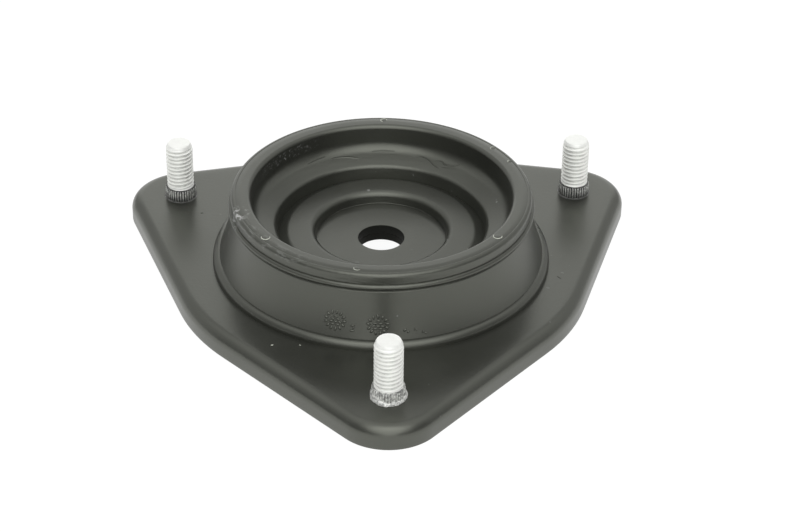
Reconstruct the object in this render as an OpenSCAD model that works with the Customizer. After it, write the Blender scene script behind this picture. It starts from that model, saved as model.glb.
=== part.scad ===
// Strut top mount: a stamped, eared steel plate with a turned-down rim, a moulded rubber body bonded
// round its drawn collar, a two-layer steel seat for the damper rod, and a stud on each ear.
// Heights are measured from the plate's top face, which bolts up against the car body.

/* [Mounting plate] */
// Sheet thickness of the plate
plate_t = 2.5; // [2:0.1:3.2]
// Radius of the plate's round middle, from the axis to the rim's outside
plate_r = 60.2; // [57:0.1:66]
// Distance from a stud's axis to the tip of its ear
ear_margin = 14.6; // [13:0.1:18]
// Corner radius of an ear
ear_r = 15.5; // [13.5:0.1:20]
// Depth of the turned-down rim, from the top face to its lower edge
rim_depth = 7; // [5:0.1:12]
// Inside radius of the rim's bend
rim_bend = 1; // [0.5:0.1:2]
// Radius of the bend between the top face and the collar
collar_bend = 2.5; // [1.8:0.1:3.5]

/* [Studs] */
// Radius of the circle through the stud axes
stud_circle_r = 68; // [64:0.1:76]
// Number of studs and ears
stud_n = 3; // [3:1:4]
// Thread size, over the crests
thread_d = 7.9; // [6:0.05:9]
// Height of the stud's end above the top face
stud_h = 17.9; // [12:0.1:30]
// Diameter of the knurled neck, which centres the plate in the car body's holes
knurl_d = 9.2; // [8.2:0.1:11]
// Height of the knurled neck above the top face
knurl_h = 3.7; // [1:0.1:6]
// Extra diameter of the part that is pressed into the plate's hole
press_step = 0.6; // [0.2:0.1:1]
// Diameter of the head under the plate
head_d = 13; // [12.2:0.1:16]
// Thickness of the head
head_t = 2.4; // [1.5:0.1:3.5]
// Width of the taper at the stud's end
stud_taper_w = 0.7; // [0.3:0.05:1.2]
// Length of the taper at the stud's end
stud_taper_h = 1.7; // [0.5:0.1:2.5]

/* [Rubber ring] */
// Outside radius of the ring
ring_r = 42.7; // [40:0.1:46]
// Height of the ring's top above the plate
ring_h = 21.5; // [19:0.1:26]
// Rubber left outside the collar
skin_t = 1.5; // [1.1:0.1:2.5]
// Rubber left inside the collar, at the ring's top
bore_skin_t = 1.6; // [1:0.1:3]
// Rubber left above the collar's edge
cover_t = 3; // [2:0.1:4.5]
// Rounding of the ring's outer top edge
ring_outer_round = 1.5; // [0.5:0.1:2]
// Rounding of the ring's inner top edge
ring_inner_round = 1.25; // [0.5:0.05:2]
// Distance from the ring's top down to the middle of the bead
bead_drop = 4; // [3.2:0.1:6]
// Radius of the bead's section
bead_r = 0.75; // [0.4:0.05:1.2]
// Depth of the fine groove under the bead
bead_groove = 0.45; // [0.2:0.05:0.8]
// How far the wall flares out from the ring to its foot
wall_flare = 3.7; // [2:0.1:5]
// Inward sag of the flared wall
wall_sag = 0.35; // [0.1:0.05:0.6]
// Height of the rolled foot where the wall meets it
foot_h = 2.4; // [1.8:0.1:3.2]
// Width of the rolled foot's top
roll_w = 2.2; // [1.6:0.1:3]
// Fall of the rolled foot's top towards its outside
roll_fall = 0.3; // [0.1:0.05:0.6]
// Width of the rolled foot's steep side
foot_side_w = 1; // [0.5:0.1:1.6]
// Thickness of the foot's outer edge
foot_edge_t = 0.4; // [0.2:0.05:0.8]

/* [Rubber bowl] */
// Depth of the ring's bore, from its top to the shelf
bore_depth = 7.1; // [5.5:0.1:9]
// Inward lean of the bore over its depth
bore_lean = 0.3; // [0:0.05:0.8]
// Width of the shelf round the bowl
shelf_w = 7.1; // [5.5:0.1:8.5]
// Fall of the shelf towards the bowl
shelf_fall = 2.5; // [1:0.1:3.5]
// Inward lean of the step below the shelf
step_lean = 1.3; // [0.5:0.1:2.5]
// Height of the ridge over the rod seat
ridge_rise = 3.45; // [2.5:0.05:5]
// Fall of the bowl's floor from the ridge out to the floor's edge
floor_fall = 0.25; // [0.1:0.05:0.8]
// Width of the valley's side, from the floor's edge to the foot of the step
valley_w = 1.6; // [1:0.1:2.5]
// Depth of the valley below the floor's edge
valley_depth = 1.4; // [0.6:0.1:2]
// Lean of the ridge's wall beside the rod seat
ridge_lean = 0.6; // [0.2:0.1:1.2]
// Radius of the steel left bare for the rod's nut
bare_r = 18.4; // [15:0.1:19.5]

/* [Rubber underside] */
// Rubber left between the collar and the groove's roof
groove_outer_t = 2.2; // [1.6:0.1:3.2]
// Rubber left round the upper seat plate
groove_inner_t = 2.3; // [1.2:0.1:3.2]
// Lean of each of the groove's walls, from its mouth to its roof
groove_lean = 3.2; // [2.4:0.1:3.8]
// Height of the groove's roof above the top face
groove_roof_h = 4; // [2:0.1:6]

/* [Rod seat] */
// Radius of the hole for the damper rod
rod_hole_r = 6.5; // [5:0.05:9]
// Height of the bare seat above the plate's top face
seat_h = 6; // [5:0.1:7.5]
// Thickness of the upper seat plate
upper_t = 2.7; // [2:0.1:3.5]
// Rubber between the collar and the upper seat plate
seat_gap = 7.7; // [6.5:0.1:9]
// Thickness of the lower seat cup
lower_t = 2.4; // [1.6:0.1:3]
// Distance from the upper seat plate's edge in to the cup's lip
lower_step = 5; // [3.5:0.1:7]
// Inside radius of the bend at the cup's lip
lower_bend = 1.2; // [0.5:0.1:2]
// Length of the cup's lip below the rubber
lip_drop = 1; // [0.5:0.1:2]

/* [Hidden] */
$fn = 96;
// Facets round the plate's outline
pan_fn = 72;
// Largest turn between two points of a rounded corner, and the radius below which it grows
round_step = 15;
round_fine_r = 1.2;
// Largest share of an edge that a rounded corner may take, beside a rounded or a sharp corner
share_round = 0.48;
share_sharp = 0.98;
// Number of steps along the flared wall and round the bead
wall_steps = 10;
bead_steps = 10;
// Roundings of the moulded rubber
ridge_round = 1.9;
floor_edge_round = 2;
valley_round = 0.7;
shelf_edge_round = 4;
shelf_foot_round = 2.2;
wall_foot_round = 0.8;
roll_round = 1.1;
groove_round = 2;
groove_mouth_round = 0.4;
// Rounding of cut sheet edges
sheet_round = 0.4;
// Reach of a cut past the faces that it opens
cut = 1;
// Angle between ears, direction of the first, and the distance of an ear's centre from the axis
ear_pitch = 360 / stud_n;
first_ear = -90;
ear_reach = stud_circle_r + ear_margin - ear_r;
// Levels of the plate, measured from its top face
plate_under = -plate_t;
rim_bottom = -rim_depth;
// The collar: both faces, its edge, and where the plate's flat ends and its bend begins
collar_r = ring_r - skin_t;
collar_bore_r = collar_r - plate_t;
collar_h = ring_h - cover_t;
collar_root_r = collar_r + collar_bend;
// Radius of the hole that is opened in the flat plate for the collar, and of the collar's own edge,
// which reaches on into the plate so that the two are one sheet
collar_hole_r = collar_root_r + cut;
collar_end_r = collar_hole_r + cut;
// The part of a stud that fills the plate's hole
press_d = knurl_d + press_step;
// The ring's bead and wall, and the foot on the plate
bead_h = ring_h - bead_drop;
wall_top_h = bead_h - bead_r - 2 * bead_groove;
foot_r = ring_r + wall_flare;
roll_r = foot_r + roll_w;
roll_h = foot_h - roll_fall;
foot_edge_r = roll_r + foot_side_w;
// The bowl, from the ring's bore in to the bare seat
ring_bore_r = collar_bore_r - bore_skin_t;
shelf_outer_r = ring_bore_r - bore_lean;
shelf_outer_h = ring_h - bore_depth;
shelf_inner_r = shelf_outer_r - shelf_w;
shelf_inner_h = shelf_outer_h - shelf_fall;
ridge_r = bare_r + ridge_lean;
ridge_h = seat_h + ridge_rise;
valley_r = shelf_inner_r - step_lean;
floor_edge_r = valley_r - valley_w;
floor_edge_h = ridge_h - floor_fall;
valley_h = floor_edge_h - valley_depth;
// The seat's two layers of steel
upper_r = collar_bore_r - seat_gap;
upper_under = seat_h - upper_t;
lower_r = upper_r - lower_step;
lower_under = upper_under - lower_t;
lip_bottom = plate_under - lip_drop;
// The groove in the underside, which lets the rubber flex
groove_roof_outer_r = collar_bore_r - groove_outer_t;
groove_roof_inner_r = upper_r + groove_inner_t;
// Middles of the lower cup's sheet, where the rubber's section is closed inside the steel
cup_mid_r = lower_r - lower_t / 2;
cup_mid_h = upper_under - lower_t / 2;

// Colours of the finishes
coat_black = [0.15, 0.15, 0.14];
rubber_black = [0.13, 0.13, 0.12];
zinc = [0.86, 0.87, 0.87];

function unit(v) = v / norm(v);

function flat_point(p) = [p[0], p[1]];

// How much of the edge between two corners the first corner's rounding may take
function room(at, other) =
    norm(flat_point(other) - flat_point(at)) * (other[2] > 0 ? share_round : share_sharp);

// The points of one corner: an arc of the given radius, kept within its share of both edges
function corner(before, at_round, after) =
    let (
        at = flat_point(at_round),
        u = unit(flat_point(before) - at),
        v = unit(flat_point(after) - at),
        half = acos(u * v) / 2,
        reach = min(at_round[2] / tan(half), room(at_round, before), room(at_round, after)),
        arc_r = reach * tan(half),
        centre = at + unit(u + v) * arc_r / sin(half),
        first = at + u * reach - centre,
        last = at + v * reach - centre,
        start = atan2(first[1], first[0]),
        turn = (atan2(last[1], last[0]) - start + 540) % 360 - 180,
        steps = max(2, ceil(abs(turn) / round_step * min(1, arc_r / round_fine_r)))
    )
    [for (i = [0:steps])
        let (a = start + turn * i / steps)
        centre + arc_r * [cos(a), sin(a)]];

// A closed outline from corners given as [x, y, rounding]
function rounded(corners) =
    let (n = len(corners))
    [for (i = [0:n - 1])
        each corners[i][2] > 0
            ? corner(corners[(i + n - 1) % n], corners[i], corners[(i + 1) % n])
            : [flat_point(corners[i])]];

// The half-round bead on the ring's outside, from its top to its underside
function bead_points() =
    [for (i = [0:bead_steps])
        let (a = 90 - 180 * i / bead_steps)
        [ring_r + bead_r * cos(a), bead_h + bead_r * sin(a), 0]];

// The flared wall, from below the bead to just above its foot, as a shallow curve that sags inward
function wall_points() =
    [for (i = [0:wall_steps - 1])
        let (s = i / wall_steps)
        [ring_r + (foot_r - ring_r) * s - 4 * wall_sag * s * (1 - s),
         wall_top_h + (foot_h - wall_top_h) * s, 0]];

// Section of the moulded rubber, filled in where the steel lies
module rubber_outline() {
    polygon(rounded(concat(
        [
            [bare_r, seat_h, 0],
            [ridge_r, ridge_h, ridge_round],
            [floor_edge_r, floor_edge_h, floor_edge_round],
            [valley_r, valley_h, valley_round],
            [shelf_inner_r, shelf_inner_h, shelf_edge_round],
            [shelf_outer_r, shelf_outer_h, shelf_foot_round],
            [ring_bore_r, ring_h, ring_inner_round],
            [ring_r, ring_h, ring_outer_round]
        ],
        bead_points(),
        [[ring_r - bead_groove, bead_h - bead_r - bead_groove, 0]],
        wall_points(),
        [
            [foot_r, foot_h, wall_foot_round],
            [roll_r, roll_h, roll_round],
            [foot_edge_r, foot_edge_t, 0],
            [foot_edge_r, 0, 0],
            [collar_root_r, 0, 0],
            [collar_root_r, plate_under, 0],
            [groove_roof_outer_r + groove_lean, plate_under, groove_mouth_round],
            [groove_roof_outer_r, groove_roof_h, groove_round],
            [groove_roof_inner_r, groove_roof_h, groove_round],
            [groove_roof_inner_r - groove_lean, plate_under, groove_mouth_round],
            [cup_mid_r, plate_under, 0],
            [cup_mid_r, cup_mid_h, 0],
            [bare_r, cup_mid_h, 0]
        ]
    )));
}

// Section of the collar: it bends up out of the flat plate and stands inside the rubber ring
module collar_section() {
    polygon(rounded([
        [collar_end_r, 0, 0],
        [collar_r, 0, collar_bend],
        [collar_r, collar_h, sheet_round],
        [collar_bore_r, collar_h, sheet_round],
        [collar_bore_r, plate_under, collar_bend + plate_t],
        [collar_end_r, plate_under, 0]
    ]));
}

// Section of the flat upper seat plate
module upper_seat_section() {
    polygon(rounded([
        [rod_hole_r, upper_under, 0],
        [upper_r, upper_under, sheet_round],
        [upper_r, seat_h, sheet_round],
        [rod_hole_r, seat_h, 0]
    ]));
}

// Section of the lower seat, a shallow cup with its lip turned down
module lower_seat_section() {
    polygon(rounded([
        [rod_hole_r, lower_under, 0],
        [lower_r - lower_t, lower_under, lower_bend],
        [lower_r - lower_t, lip_bottom, sheet_round],
        [lower_r, lip_bottom, sheet_round],
        [lower_r, upper_under, lower_bend + lower_t],
        [rod_hole_r, upper_under, 0]
    ]));
}

// Half of a pan's section, from its middle at x = 0 to its rounded rim
module pan_section(reach, top, bottom, bend) {
    polygon(rounded([
        [0, bottom, 0],
        [reach, bottom, 0],
        [reach, top, bend],
        [0, top, 0]
    ]));
}

// A round block with a rounded top edge
module puck(r, top, bottom, bend) {
    rotate_extrude($fn = pan_fn)
        pan_section(r, top, bottom, bend);
}

// A solid block with the plate's outline, drawn in by inset: its round middle and its ears, joined
// by their common tangents
module pan(inset, top, bottom, bend) {
    hull() {
        puck(plate_r - inset, top, bottom, bend);
        at_ears(ear_reach)
            puck(ear_r - inset, top, bottom, bend);
    }
}

// Places its children on every ear's line, at a distance from the axis
module at_ears(reach) {
    for (k = [0:stud_n - 1])
        rotate(first_ear + k * ear_pitch)
            translate([reach, 0])
                children();
}

// Stamped plate: rim turned down all round, collar drawn up in the middle, a hole in each ear
module mounting_plate() {
    color(coat_black)
        union() {
            difference() {
                pan(0, 0, rim_bottom, rim_bend + plate_t);
                pan(plate_t, plate_under, rim_bottom - cut, rim_bend);
                translate([0, 0, plate_under - cut])
                    cylinder(h = plate_t + 2 * cut, r = collar_hole_r);
                at_ears(stud_circle_r)
                    translate([0, 0, plate_under - cut])
                        cylinder(h = plate_t + 2 * cut, d = press_d);
            }
            rotate_extrude()
                collar_section();
        }
}

// Moulded rubber, bonded round the collar and over the seat plates
module rubber_body() {
    color(rubber_black)
        rotate_extrude()
            difference() {
                rubber_outline();
                collar_section();
                upper_seat_section();
                lower_seat_section();
            }
}

// Flat plate that the rod's nut clamps
module upper_seat_plate() {
    color(coat_black)
        rotate_extrude()
            upper_seat_section();
}

// Cup under the seat plate, which takes the bearing below
module lower_seat_cup() {
    color(coat_black)
        rotate_extrude()
            lower_seat_section();
}

// Half of a stud's section: head, pressed part, knurled neck and tapered shank
module stud_section() {
    polygon([
        [0, plate_under - head_t],
        [head_d / 2, plate_under - head_t],
        [head_d / 2, plate_under],
        [press_d / 2, plate_under],
        [press_d / 2, 0],
        [knurl_d / 2, 0],
        [knurl_d / 2, knurl_h],
        [thread_d / 2, knurl_h],
        [thread_d / 2, stud_h - stud_taper_h],
        [thread_d / 2 - stud_taper_w, stud_h],
        [0, stud_h]
    ]);
}

// The studs, pressed up through the ears
module studs() {
    color(zinc)
        at_ears(stud_circle_r)
            rotate_extrude()
                stud_section();
}

mounting_plate();
rubber_body();
upper_seat_plate();
lower_seat_cup();
studs();
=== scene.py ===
import math

import bmesh
import bpy
from mathutils import Matrix, Vector


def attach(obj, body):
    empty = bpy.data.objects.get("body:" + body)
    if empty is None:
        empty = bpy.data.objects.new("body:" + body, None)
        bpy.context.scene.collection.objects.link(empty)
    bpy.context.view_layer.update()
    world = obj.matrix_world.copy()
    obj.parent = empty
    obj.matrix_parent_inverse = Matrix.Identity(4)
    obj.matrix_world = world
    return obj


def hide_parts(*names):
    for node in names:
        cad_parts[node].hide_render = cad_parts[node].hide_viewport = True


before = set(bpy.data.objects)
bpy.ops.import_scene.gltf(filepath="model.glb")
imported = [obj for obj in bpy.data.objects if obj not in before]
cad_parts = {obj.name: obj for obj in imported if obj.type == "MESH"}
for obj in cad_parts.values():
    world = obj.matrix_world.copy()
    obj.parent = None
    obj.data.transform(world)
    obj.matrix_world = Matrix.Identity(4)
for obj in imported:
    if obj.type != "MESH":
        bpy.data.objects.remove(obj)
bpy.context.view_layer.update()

MM = 0.001
scene = bpy.context.scene

# Sizes are in millimetres, and heights count from the plate's top face

# Plate with three ears and its rim
PLATE_T = 2.5
PLATE_R = 60.2
EAR_R = 15.5
EAR_REACH = 67.1
EARS = [math.radians(-90 + 120 * k) for k in range(3)]
RIM_BOTTOM = -7.0
RIM_BEND = 1.0
RIM_EDGE = 0.35
RIM_INSET = RIM_BEND + PLATE_T
CUT_EDGE = 0.4

# Collar that is drawn up from the plate, inside the rubber
COLLAR_R = 41.2
COLLAR_IN_R = COLLAR_R - PLATE_T
COLLAR_H = 18.5
COLLAR_BEND = 2.5
COLLAR_ROOT_R = COLLAR_R + COLLAR_BEND + 1.0

# Studs
STUD_R = 68.0
STUD_H = 17.9
THREAD_R = 3.95
THREAD_DEPTH = 0.68
THREAD_PHASE = (0.0, 0.37, 0.74)
PITCH = 1.25
TAPER_W = 0.7
TAPER_H = 1.7
NECK_R = 4.6
NECK_H = 3.7
HEAD_R = 6.5
HEAD_T = 2.4
PRESS_R = 4.9

# Outside of the rubber: ring, bead, wall and rolled foot
RING_R = 42.7
RING_H = 21.5
# The ring's top lies a little lower, so that the marks on it reach the full height
RING_TOP = RING_H - 0.12
LINE_R = 41.4
LINE_W = 0.16
LINE_DEPTH = 0.09
BEAD_H = 17.4
BEAD_R = 0.85
BEAD_GROOVE = 0.45
WALL_TOP_H = BEAD_H - BEAD_R - 2 * BEAD_GROOVE
WALL_SAG = 0.35
FOOT_R = 46.4
FOOT_H = 2.4
ROLL_R = 48.3
ROLL_H = 2.6

# Inside of the rubber: bore, shelf, valley, floor and ridge
BORE_R = 37.1
SHELF_R = 36.8
SHELF_H = 14.0
SHELF_IN_R = 30.1
SHELF_IN_H = 11.6
VALLEY_R = 29.5
VALLEY_H = 7.6
FLOOR_R = 26.8
FLOOR_H = 9.2
RIDGE_R = 19.0
RIDGE_H = 9.45

# Groove in the rubber's underside
GROOVE_OUT_R = 36.5
GROOVE_IN_R = 33.3
GROOVE_LEAN = 3.2
GROOVE_H = 4.0

# Roundings of the rubber's corners
LIP_OUT_ROUND = 1.1
LIP_IN_ROUND = 1.25
COVE_ROUND = 3.6
SHELF_ROUND = 1.5
FLOOR_ROUND = 2
RIDGE_ROUND = 1.9
ROLL_ROUND = 2
GROOVE_ROUND = 2
GROOVE_EDGE = 0.4

# Seat of two steel layers with the rod hole
SEAT_H = 6.0
BARE_R = 18.4
UPPER_T = 2.7
UPPER_R = 31.0
UPPER_UNDER = SEAT_H - UPPER_T
LOWER_T = 2.4
LOWER_R = 26.0
LOWER_BEND = 1.2
LOWER_UNDER = UPPER_UNDER - LOWER_T
LIP_BOTTOM = -3.5
HOLE_R = 6.5
HOLE_EDGE = 0.3
PARTING_EDGE = 0.15

# Keeps two corners of a section off one level, and leaves a short flat beyond a bend
NUDGE = 0.001
COLLAR_FLAT = 0.15
LOWER_FLAT = 0.05

# Fineness of the meshes: turns in degrees, lengths in millimetres
SHARP = 32
FINE_TURN = 5.0
PLATE_TURN = 9
SEAT_TURN = 10
RUBBER_STEP = 1.6
SEAT_STEP = 2.0
RUBBER_SIDES = 240
SEAT_SIDES = 160
STUD_SIDES = 64
DRILL_SIDES = 96
BURR_SIDES = 96


# Mesh helpers
def piece(name, verts, faces, mat, slot, sharp=SHARP):
    """A smooth-shaded mesh on the root body."""
    mesh = bpy.data.meshes.new(name)
    mesh.from_pydata([Vector(v) * MM for v in verts], [], faces)
    mesh.validate()
    mesh.update()
    ob = bpy.data.objects.new(name, mesh)
    scene.collection.objects.link(ob)
    bm = bmesh.new()
    bm.from_mesh(mesh)
    bmesh.ops.remove_doubles(bm, verts=bm.verts, dist=1e-7)
    bmesh.ops.recalc_face_normals(bm, faces=bm.faces)
    bm.to_mesh(mesh)
    bm.free()
    mesh.shade_smooth()
    mesh.set_sharp_from_angle(angle=math.radians(sharp))
    mesh.materials.append(mat)
    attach(ob, "root")
    return ob


def repaint(ob, mat, test):
    """Gives mat to the faces whose centre, in millimetres, passes the test."""
    ob.data.materials.append(mat)
    for face in ob.data.polygons:
        if test(*(face.center / MM)):
            face.material_index = len(ob.data.materials) - 1


def unit(x):
    """x, kept between 0 and 1."""
    return min(1, max(0, x))


def waves(t, parts, start):
    """Sum of waves over an angle, each given as size, count and phase."""
    return sum((size * math.sin(count * t + phase) for size, count, phase in parts), start)


def on_circle(cx, cy, r, angle):
    return cx + r * math.cos(angle), cy + r * math.sin(angle)


def quarter(first, steps):
    """Angles of a quarter turn in equal steps, from the step called first."""
    return [math.pi / 2 * k / steps for k in range(first, steps + 1)]


def between(p, q, steps):
    """Points inside the stretch from p to q, which is cut into equal steps."""
    return [(p[0] + (q[0] - p[0]) * k / steps, p[1] + (q[1] - p[1]) * k / steps) for k in range(1, steps)]


# Share of an edge that one rounding may use, beside another rounding and beside a sharp corner
HALF_SHARE = 0.48
FULL_SHARE = 0.98


def share(corner):
    return HALF_SHARE if corner[2] > 0 else FULL_SHARE


def arc_at(corner, before, after, step):
    """Points of the rounding at one corner."""
    at = Vector(corner[:2])
    to_b, to_a = Vector(before[:2]) - at, Vector(after[:2]) - at
    room = min(to_b.length * share(before), to_a.length * share(after))
    u, v = to_b.normalized(), to_a.normalized()
    half = math.acos(max(-1, min(1, u.dot(v)))) / 2
    reach = min(corner[2] / math.tan(half), room)
    arc = reach * math.tan(half)
    c = at + (u + v).normalized() * (arc / math.sin(half))
    first, last = at + u * reach - c, at + v * reach - c
    start = math.atan2(first.y, first.x)
    turn = (math.atan2(last.y, last.x) - start + 3 * math.pi) % (2 * math.pi) - math.pi
    steps = max(3, math.ceil(abs(math.degrees(turn)) / step))
    return [on_circle(c.x, c.y, arc, start + turn * k / steps) for k in range(steps + 1)]


def rounded(corners, step=FINE_TURN):
    """A closed outline from corners given as (x, y, rounding)."""
    out = []
    for i, corner in enumerate(corners):
        if corner[2] > 0:
            out += arc_at(corner, corners[i - 1], corners[(i + 1) % len(corners)], step)
        else:
            out.append(corner[:2])
    return out


def refine(points, longest):
    """Adds points along the long straight stretches of a closed outline."""
    out = []
    for i, a in enumerate(points):
        b = points[(i + 1) % len(points)]
        out += [a] + between(a, b, max(1, math.ceil(math.dist(a, b) / longest)))
    return out


def circle_row(cx, cy, r, z, n):
    return [(*on_circle(cx, cy, r, 2 * math.pi * k / n), z) for k in range(n)]


def grid_faces(rows, n, loop=False):
    """Faces between neighbouring rows of n points, and from the last row to the first in a loop."""
    faces = []
    for i in range(rows if loop else rows - 1):
        j = (i + 1) % rows
        faces += [(i * n + k, i * n + (k + 1) % n, j * n + (k + 1) % n, j * n + k) for k in range(n)]
    return faces


def ring_faces(n, m):
    """Faces of n closed outlines of m points each, set round an axis."""
    faces = []
    for i in range(n):
        j = (i + 1) % n
        faces += [(i * m + k, j * m + k, j * m + (k + 1) % m, i * m + (k + 1) % m) for k in range(m)]
    return faces


def flatten(rows):
    return [p for row in rows for p in row]


def closed(rows):
    """Vertices and faces of a stack of rings, closed at both ends."""
    n = len(rows[0])
    last = (len(rows) - 1) * n
    ends = [tuple(range(n))[::-1], tuple(range(last, last + n))]
    return flatten(rows), grid_faces(len(rows), n) + ends


def add_closed(verts, faces, rows):
    """Adds a closed stack of rings to a list of vertices and a list of faces."""
    more, cells = closed(rows)
    faces += [tuple(len(verts) + k for k in cell) for cell in cells]
    verts += more


def revolve(profile, n):
    """Closed outline (r, z) turned about the axis, as vertices and faces."""
    rows = []
    for i in range(n):
        a = 2 * math.pi * i / n
        rows.append([(*on_circle(0, 0, r, a), z) for r, z in profile])
    return flatten(rows), ring_faces(n, len(profile))


# Node helpers
class Nodes:
    def __init__(self, tree):
        self.tree = tree
        tree.nodes.clear()

    def add(self, kind, **values):
        node = self.tree.nodes.new(kind)
        for k, v in values.items():
            setattr(node, k, v)
        return node

    def link(self, a, b):
        self.tree.links.new(a, b)

    def put(self, socket, value):
        if isinstance(value, bpy.types.NodeSocket):
            self.link(value, socket)
        else:
            socket.default_value = value

    def math(self, op, a, b=None, clamp=False):
        node = self.add("ShaderNodeMath", operation=op, use_clamp=clamp)
        self.put(node.inputs[0], a)
        if b is not None:
            self.put(node.inputs[1], b)
        return node.outputs[0]

    def chain(self, op, parts):
        total = parts[0]
        for part in parts[1:]:
            total = self.math(op, total, part)
        return total

    def times(self, *parts):
        return self.chain("MULTIPLY", parts)

    def plus(self, *parts):
        return self.chain("ADD", parts)

    def measure(self, op, a, b):
        """A number from two vectors, such as their distance."""
        node = self.add("ShaderNodeVectorMath", operation=op)
        self.put(node.inputs[0], a)
        self.put(node.inputs[1], b)
        return node.outputs["Value"]

    def ramp(self, x, lo, hi, out_lo=0.0, out_hi=1.0):
        node = self.add("ShaderNodeMapRange", interpolation_type="SMOOTHSTEP")
        for s, v in zip(node.inputs, (x, lo, hi, out_lo, out_hi)):
            self.put(s, v)
        return node.outputs[0]

    def fall(self, x, lo, hi):
        """One below lo, nought above hi."""
        return self.ramp(x, lo, hi, 1, 0)

    def near(self, x, middle, full, none):
        """One within full of the middle, nought further off than none."""
        return self.fall(self.math("ABSOLUTE", self.math("SUBTRACT", x, middle)), full, none)

    def noise(self, vector, scale, detail, rough, distortion=0.0):
        node = self.add("ShaderNodeTexNoise")
        self.put(node.inputs["Vector"], vector)
        node.inputs["Scale"].default_value = scale
        node.inputs["Detail"].default_value = detail
        node.inputs["Roughness"].default_value = rough
        node.inputs["Distortion"].default_value = distortion
        return node.outputs["Fac"]

    def mix(self, fac, a, b):
        node = self.add("ShaderNodeMix", data_type="RGBA")
        self.put(node.inputs[0], fac)
        self.put(node.inputs[6], a)
        self.put(node.inputs[7], b)
        return node.outputs[2]

    def bump(self, height, strength, distance):
        node = self.add("ShaderNodeBump")
        node.inputs["Strength"].default_value = strength
        node.inputs["Distance"].default_value = distance
        self.put(node.inputs["Height"], height)
        return node.outputs["Normal"]

    def polar(self, where):
        """Distance from the axis, angle about it and height, in metres and radians."""
        sep = self.add("ShaderNodeSeparateXYZ")
        self.link(where, sep.inputs[0])
        x, y, z = sep.outputs
        radius = self.math("SQRT", self.plus(self.times(x, x), self.times(y, y)))
        return radius, self.math("ARCTAN2", y, x), z


def material(name):
    mat = bpy.data.materials.new(name)
    mat.use_nodes = True
    n = Nodes(mat.node_tree)
    out = n.add("ShaderNodeOutputMaterial")
    bsdf = n.add("ShaderNodeBsdfPrincipled")
    n.link(bsdf.outputs[0], out.inputs["Surface"])
    where = n.add("ShaderNodeTexCoord").outputs["Object"]
    return mat, n, bsdf, where


# Tints: how much blue a grey lacks, and the share of that by which it lacks red
TINT = 0.13
ZINC_TINT = 0.04
RED_SHARE = 0.25

# Shine of the black coat and the rubber
SPEC = 1.0
BLACK_IOR = 1.6


def grey(v, tint=0.0):
    return (v * (1 - RED_SHARE * tint), v, v * (1 - tint), 1)


def black_shine(bsdf, spec):
    bsdf.inputs["Specular IOR Level"].default_value = spec
    bsdf.inputs["Specular Tint"].default_value = grey(1.0, TINT)
    bsdf.inputs["IOR"].default_value = BLACK_IOR


# Spans of the noise over which cloudy tones, roughness and patches of specks change
CLOUD_SPAN = (0.3, 0.7)
ROUGH_SPAN = (0.25, 0.75)
PATCH_SPAN = (0.52, 0.62)

# Dust on the coat: its share, its tone and the roughness it adds, then the peel's share in the relief
DUST_SHARE = 0.4
DUST_TONE = 0.25
DUST_ROUGH = 0.25
PEEL_SHARE = 0.5


def coat_material(name, dark, light, rough_lo, rough_hi, spec=SPEC):
    """Black dip coat on sheet steel: faint cloudiness, fine orange peel and a few dust specks."""
    mat, n, bsdf, where = material(name)
    cloud = n.noise(where, scale=38, detail=4, rough=0.6)
    peel = n.noise(where, scale=900, detail=2, rough=0.5)
    specks = n.ramp(n.noise(where, scale=420, detail=1, rough=0.4), 0.75, 0.79)
    patches = n.ramp(n.noise(where, scale=30, detail=2, rough=0.5), *PATCH_SPAN)
    dust = n.times(specks, patches)
    tone = n.mix(n.ramp(cloud, *CLOUD_SPAN), grey(dark, TINT), grey(light, TINT))
    rough = n.ramp(cloud, *ROUGH_SPAN, rough_lo, rough_hi)
    height = n.plus(n.times(peel, PEEL_SHARE), cloud)
    n.put(bsdf.inputs["Base Color"], n.mix(n.times(dust, DUST_SHARE), tone, grey(DUST_TONE)))
    n.put(bsdf.inputs["Roughness"], n.plus(rough, n.times(dust, DUST_ROUGH)))
    n.put(bsdf.inputs["Normal"], n.bump(height, strength=0.1, distance=0.0004))
    black_shine(bsdf, spec)
    return mat


# Places on the rubber: a point, and ramps over radius and height in metres and over angle in radians
SCUFF_AT = (-0.0411, -0.0112, 0.0207)
SCUFF_REACH = (0.001, 0.005)
CRUMB_ANGLE = 2.45
CRUMB_REACH = (0.1, 0.5)
CRUMB_FROM_H = (0.0165, 0.0175)
CRUMB_TO_H = (0.0195, 0.0205)
CRUMB_TO_R = (0.0375, 0.038)
WEAR_ANGLE = -2.55
WEAR_REACH = (0.2, 0.6)
WEAR_FROM_R = (0.0385, 0.0408)
WEAR_FROM_H = (0.0196, 0.0203)
FLOW_FROM_R = (0.0285, 0.0305)
FLOW_TO_R = (0.0355, 0.037)
FLOW_SINE = (0.1, 0.8)
TOOL_FROM_R = (0.0405, 0.0425)
TOOL_FROM_H = (0.0155, 0.0165)

# Shares of the pale marks in the rubber's tone, and of the grains in its relief
SCUFF_SHARE = 0.8
SPECK_SHARE = 0.3
CRUMB_SHARE = 0.3
WEAR_SHARE = 0.16
PALE_TONE = 0.5
PALE_ROUGH = 0.3
GRAIN_SHARE = 0.35
FLOW_SHARE = 1.5
TOOL_SHARE = 1.2

# Metres per radian along the streaks, much less than the real arc, which draws them out
STREAK_ARC = 0.012
RUBBER_ROUGH = (0.32, 0.4)


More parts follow.
